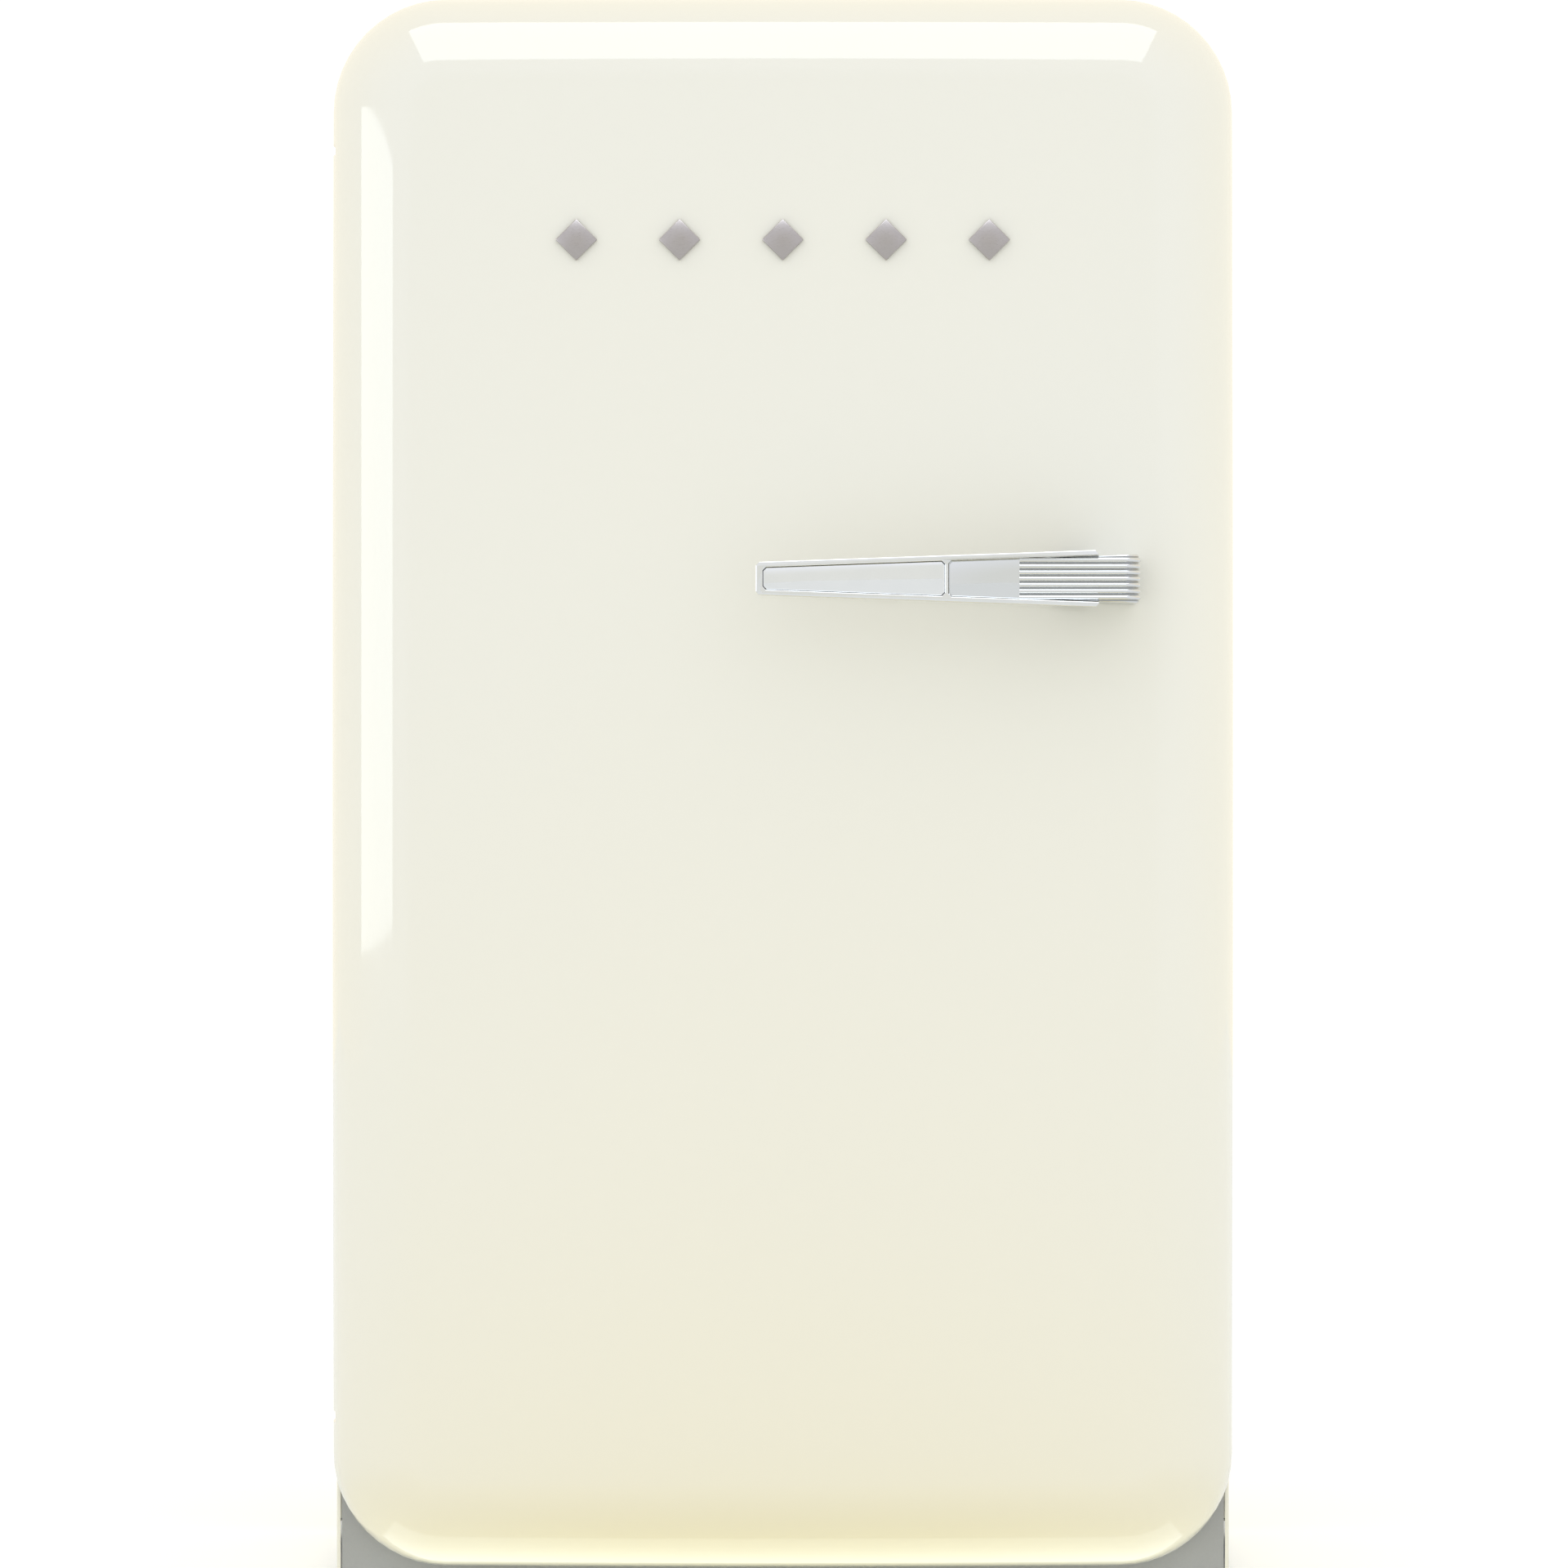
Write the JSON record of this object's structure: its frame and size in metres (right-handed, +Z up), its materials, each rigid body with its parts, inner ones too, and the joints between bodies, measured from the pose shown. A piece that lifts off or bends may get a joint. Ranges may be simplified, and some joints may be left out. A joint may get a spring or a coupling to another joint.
{
  "type": "mini fridge",
  "caption": "Free-standing under-height refrigerator in a rounded retro style, with one left-hinged door, a bar handle, shelves, a drawer and a rear cooling unit.",
  "frame": {"origin": "on the floor, midway across the width and the depth of the whole object, handle and wall spacers included", "axes": "+Z up; the door faces -Y; the hinges are on the -X side and the handle's fixed end is towards +X"},
  "size_m": [0.545, 0.632, 0.97],
  "materials": {
    "cream_enamel": "gloss",
    "grey_paint": "satin",
    "back_sheet": "satin",
    "black_paint": "satin",
    "galvanised_steel": "satin",
    "bare_aluminium": "satin",
    "chrome": "polished",
    "satin_metal": "satin",
    "copper": "satin",
    "white_plastic": "satin",
    "clear_plastic": "gloss",
    "grey_plastic": "satin",
    "black_plastic": "matte",
    "lamp_cover": "satin",
    "black_rubber": "matte",
    "seal_rubber": "matte",
    "shelf_glass": "polished",
    "foam": "matte"
  },
  "bodies": {
    "cabinet": {"cabinet_wrap": "cream_enamel", "inner_liner": "white_plastic", "cabinet_foam": "foam", "evaporator_plate": "bare_aluminium", "back_panel": "back_sheet", "base_pan": "galvanised_steel", "plinth": "grey_paint", "hinge_bracket_top": "galvanised_steel", "hinge_bracket_bottom": "galvanised_steel", "compressor_carrier": "galvanised_steel", "compressor": "black_paint", "compressor_grommet_1": "black_rubber", "compressor_grommet_2": "black_rubber", "compressor_grommet_3": "black_rubber", "compressor_grommet_4": "black_rubber", "start_relay_cover": "black_plastic", "drip_tray": "black_plastic", "drain_tube": "white_plastic", "condenser_tube": "black_paint", "condenser_bracket_left": "black_paint", "condenser_bracket_right": "black_paint", "wall_spacer_left": "black_plastic", "wall_spacer_right": "black_plastic", "filter_drier": "copper", "suction_line": "copper", "upper_shelf_glass": "shelf_glass", "upper_shelf_rail": "satin_metal", "middle_shelf_glass": "shelf_glass", "middle_shelf_rail": "satin_metal", "crisper_cover": "shelf_glass", "bottle_rack": "chrome", "lamp_housing": "white_plastic", "lamp_lens": "lamp_cover"},
    "door": {"door_skin": "cream_enamel", "door_foam": "foam", "door_liner": "white_plastic", "door_seal": "seal_rubber", "hinge_bush_top": "white_plastic", "hinge_bush_bottom": "white_plastic", "balcony_upper": "clear_plastic", "balcony_middle": "clear_plastic", "balcony_bottle": "clear_plastic", "guard_middle": "chrome", "guard_bottle": "chrome", "egg_tray": "white_plastic", "handle_base": "chrome", "handle_arm": "chrome", "handle_inlay": "chrome", "badge_stud_1": "satin_metal", "badge_stud_2": "satin_metal", "badge_stud_3": "satin_metal", "badge_stud_4": "satin_metal", "badge_stud_5": "satin_metal"},
    "dairy_lid": {"dairy_lid": "clear_plastic"},
    "crisper": {"crisper_drawer": "clear_plastic"},
    "thermostat_knob": {"thermostat_knob": "grey_plastic"},
    "left_foot": {"front_foot_left": "black_plastic"},
    "right_foot": {"front_foot_right": "black_plastic"},
    "left_roller": {"rear_roller_left": "black_plastic"},
    "right_roller": {"rear_roller_right": "black_plastic"}
  },
  "joints": [
    {"name": "door_hinge", "type": "hinge", "parent": "cabinet", "child": "door", "pos_m": [-0.2585, -0.19, 0.5], "axis": [0, 0, -1], "range_deg": [0, 120]},
    {"name": "crisper_slide", "type": "slide", "parent": "cabinet", "child": "crisper", "axis": [0, -1, 0], "range_m": [0, 0.137]},
    {"name": "dairy_lid_hinge", "type": "hinge", "parent": "door", "child": "dairy_lid", "pos_m": [0, -0.1672, 0.772], "axis": [1, 0, 0], "range_deg": [0, 90]},
    {"name": "thermostat_turn", "type": "hinge", "parent": "cabinet", "child": "thermostat_knob", "pos_m": [0.1909, -0.032, 0.8645], "axis": [-1, 0, 0], "range_deg": [0, 270]},
    {"name": "left_foot_level", "type": "slide", "parent": "cabinet", "child": "left_foot", "axis": [0, 0, -1], "range_m": [0, 0.01]},
    {"name": "right_foot_level", "type": "slide", "parent": "cabinet", "child": "right_foot", "axis": [0, 0, -1], "range_m": [0, 0.01]},
    {"name": "left_roller_spin", "type": "hinge", "parent": "cabinet", "child": "left_roller", "pos_m": [-0.232, 0.254, 0.01477], "axis": [1, 0, 0], "continuous": true},
    {"name": "right_roller_spin", "type": "hinge", "parent": "cabinet", "child": "right_roller", "pos_m": [0.232, 0.254, 0.01477], "axis": [1, 0, 0], "continuous": true}
  ],
  "couplings": [
    {"joint": "crisper_slide", "follows": "door_hinge", "m_per_rad": 0.065}
  ]
}
